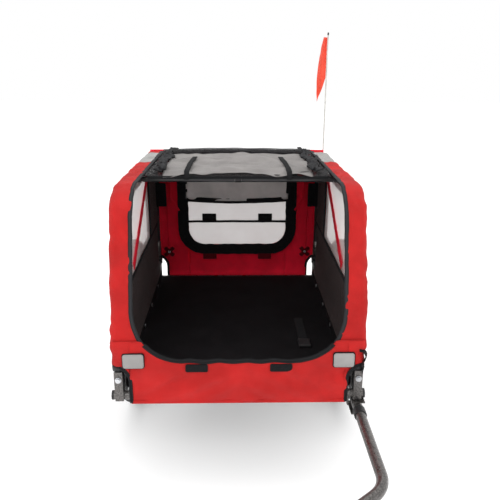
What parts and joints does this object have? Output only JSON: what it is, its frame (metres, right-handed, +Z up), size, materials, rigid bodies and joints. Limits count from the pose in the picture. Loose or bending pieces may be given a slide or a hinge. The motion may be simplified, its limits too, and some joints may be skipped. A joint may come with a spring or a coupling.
{
  "type": "bicycle trailer",
  "caption": "Two-wheeled bicycle trailer with a fold-flat fabric cabin, open front, mesh roof, side windows, bent tow arm with hitch, and a safety flag.",
  "frame": {"origin": "on the ground, at the middle of the overall length and width", "axes": "-Y forward, the way it is towed; +X to the trailer's left, the tow arm's side; +Z up"},
  "size_m": [0.7076, 1.4183, 1.1059],
  "materials": {
    "alloy": "satin",
    "black_plastic": "moulded",
    "black_steel": "black enamel",
    "fibreglass": "white rod",
    "floor_fabric": "coated oxford cloth",
    "lining_fabric": "dark mesh",
    "mesh": "open mesh",
    "orange_fabric": "nylon",
    "painted_steel": "hammered grey enamel",
    "red_fabric": "600D oxford cloth",
    "reflector": "amber",
    "steel": "zinc plated",
    "tyre": "ribbed",
    "webbing": "polypropylene webbing",
    "window_film": "translucent film"
  },
  "bodies": {
    "frame": {"crossbars": "painted_steel", "base_rails": "painted_steel", "axle_sleeves": "painted_steel", "end_plugs": "black_plastic", "fold_brackets": "painted_steel", "fold_bolts": "steel", "bar_sleeves": "black_plastic", "floor_panel": "floor_fabric", "floor_snaps": "steel", "tether_strap": "webbing", "tether_buckle": "black_plastic", "front_panel": "red_fabric", "front_cheeks": "red_fabric", "roof_mesh": "mesh", "roof_strips": "red_fabric", "folded_front_cover": "mesh", "cover_straps": "webbing", "rear_wall": "red_fabric", "rear_window": "window_film", "tow_bracket": "painted_steel", "tow_pivot_bolt": "steel"},
    "tow_arm": {"tow_arm_tube": "painted_steel", "tow_arm_collar": "black_plastic"},
    "pull_pin": {"tow_pull_pin": "steel"},
    "hitch_yoke": {"hitch_yoke": "painted_steel", "hitch_yaw_bolt": "steel"},
    "hitch_plate": {"hitch_plate": "steel"},
    "hitch_pin": {"hitch_pin": "steel"},
    "flag": {"flag_pole": "fibreglass", "flag_pennant": "orange_fabric"},
    "left_side": {"left_side_hoop": "black_steel", "left_side_lining": "lining_fabric", "left_side_window": "window_film", "left_bar_lugs": "black_plastic", "flag_socket": "black_plastic"},
    "left_front_bar": {"left_front_roof_bar": "black_steel"},
    "left_rear_bar": {"left_rear_roof_bar": "black_steel"},
    "left_axle": {"left_axle": "steel"},
    "left_button": {"left_release_button": "black_plastic"},
    "left_wheel": {"left_tyre": "tyre", "left_rim": "alloy", "left_spokes": "steel", "left_hub": "alloy", "left_bearings": "steel", "left_wheel_reflectors": "reflector"},
    "right_side": {"right_side_hoop": "black_steel", "right_side_lining": "lining_fabric", "right_side_window": "window_film", "right_bar_lugs": "black_plastic"},
    "right_front_bar": {"right_front_roof_bar": "black_steel"},
    "right_rear_bar": {"right_rear_roof_bar": "black_steel"},
    "right_axle": {"right_axle": "steel"},
    "right_button": {"right_release_button": "black_plastic"},
    "right_wheel": {"right_tyre": "tyre", "right_rim": "alloy", "right_spokes": "steel", "right_hub": "alloy", "right_bearings": "steel", "right_wheel_reflectors": "reflector"}
  },
  "joints": [
    {"name": "left_side_fold", "type": "hinge", "parent": "frame", "child": "left_side", "pos_m": [0.287, -0.1028, 0.3], "axis": [0, 1, 0], "range_deg": [-88, 0], "deforming": ["front_cheeks", "roof_mesh", "roof_strips", "folded_front_cover", "cover_straps", "rear_wall", "rear_window", "bar_sleeves"]},
    {"name": "left_front_bar_swing", "type": "hinge", "parent": "left_side", "child": "left_front_bar", "pos_m": [0.266, 0.1972, 0.71904], "axis": [0, 0, 1], "range_deg": [-88, 0]},
    {"name": "left_rear_bar_swing", "type": "hinge", "parent": "left_side", "child": "left_rear_bar", "pos_m": [0.266, 0.6372, 0.70312], "axis": [0, 0, 1], "range_deg": [0, 88]},
    {"name": "left_axle_pull", "type": "slide", "parent": "frame", "child": "left_axle", "axis": [1, 0, 0], "range_m": [0, 0.12]},
    {"name": "left_release", "type": "slide", "parent": "left_axle", "child": "left_button", "axis": [-1, 0, 0], "range_m": [0, 0.003], "stiffness_N_per_m": 400},
    {"name": "left_wheel_spin", "type": "hinge", "parent": "left_axle", "child": "left_wheel", "pos_m": [0.321, 0.3272, 0.25], "axis": [1, 0, 0], "continuous": true},
    {"name": "right_side_fold", "type": "hinge", "parent": "frame", "child": "right_side", "pos_m": [-0.287, -0.1028, 0.3], "axis": [0, 1, 0], "range_deg": [0, 74], "deforming": ["front_cheeks", "roof_mesh", "roof_strips", "folded_front_cover", "cover_straps", "rear_wall", "rear_window", "bar_sleeves"]},
    {"name": "right_front_bar_swing", "type": "hinge", "parent": "right_side", "child": "right_front_bar", "pos_m": [-0.266, 0.1972, 0.71904], "axis": [0, 0, 1], "range_deg": [0, 74]},
    {"name": "right_rear_bar_swing", "type": "hinge", "parent": "right_side", "child": "right_rear_bar", "pos_m": [-0.266, 0.6372, 0.70312], "axis": [0, 0, 1], "range_deg": [-74, 0]},
    {"name": "right_axle_pull", "type": "slide", "parent": "frame", "child": "right_axle", "axis": [-1, 0, 0], "range_m": [0, 0.12]},
    {"name": "right_release", "type": "slide", "parent": "right_axle", "child": "right_button", "axis": [1, 0, 0], "range_m": [0, 0.003], "stiffness_N_per_m": 400},
    {"name": "right_wheel_spin", "type": "hinge", "parent": "right_axle", "child": "right_wheel", "pos_m": [-0.321, 0.3272, 0.25], "axis": [1, 0, 0], "continuous": true},
    {"name": "tow_arm_swing", "type": "hinge", "parent": "frame", "child": "tow_arm", "pos_m": [0.29, -0.1028, 0.22], "axis": [0, 0, 1], "range_deg": [-62, 0]},
    {"name": "pull_pin_slide", "type": "slide", "parent": "frame", "child": "pull_pin", "axis": [-1, 0, 0], "range_m": [0, 0.012], "stiffness_N_per_m": 300},
    {"name": "hitch_yaw", "type": "hinge", "parent": "tow_arm", "child": "hitch_yoke", "pos_m": [0.14858, -0.61207, 0.22], "axis": [0, 0, 1], "range_deg": [-50, 50]},
    {"name": "hitch_pitch", "type": "hinge", "parent": "hitch_yoke", "child": "hitch_plate", "pos_m": [0.14858, -0.65407, 0.22], "axis": [1, 0, 0], "range_deg": [-25, 25]},
    {"name": "hitch_pin_slide", "type": "slide", "parent": "hitch_plate", "child": "hitch_pin", "axis": [1, 0, 0], "range_m": [0, 0.045]},
    {"name": "flag_lift", "type": "slide", "parent": "left_side", "child": "flag", "axis": [0, 0, 1], "range_m": [0, 0.125]}
  ],
  "couplings": [
    {"joint": "left_front_bar_swing", "follows": "left_side_fold", "ratio": 1},
    {"joint": "left_rear_bar_swing", "follows": "left_side_fold", "ratio": -1},
    {"joint": "right_front_bar_swing", "follows": "right_side_fold", "ratio": 1},
    {"joint": "right_rear_bar_swing", "follows": "right_side_fold", "ratio": -1}
  ]
}
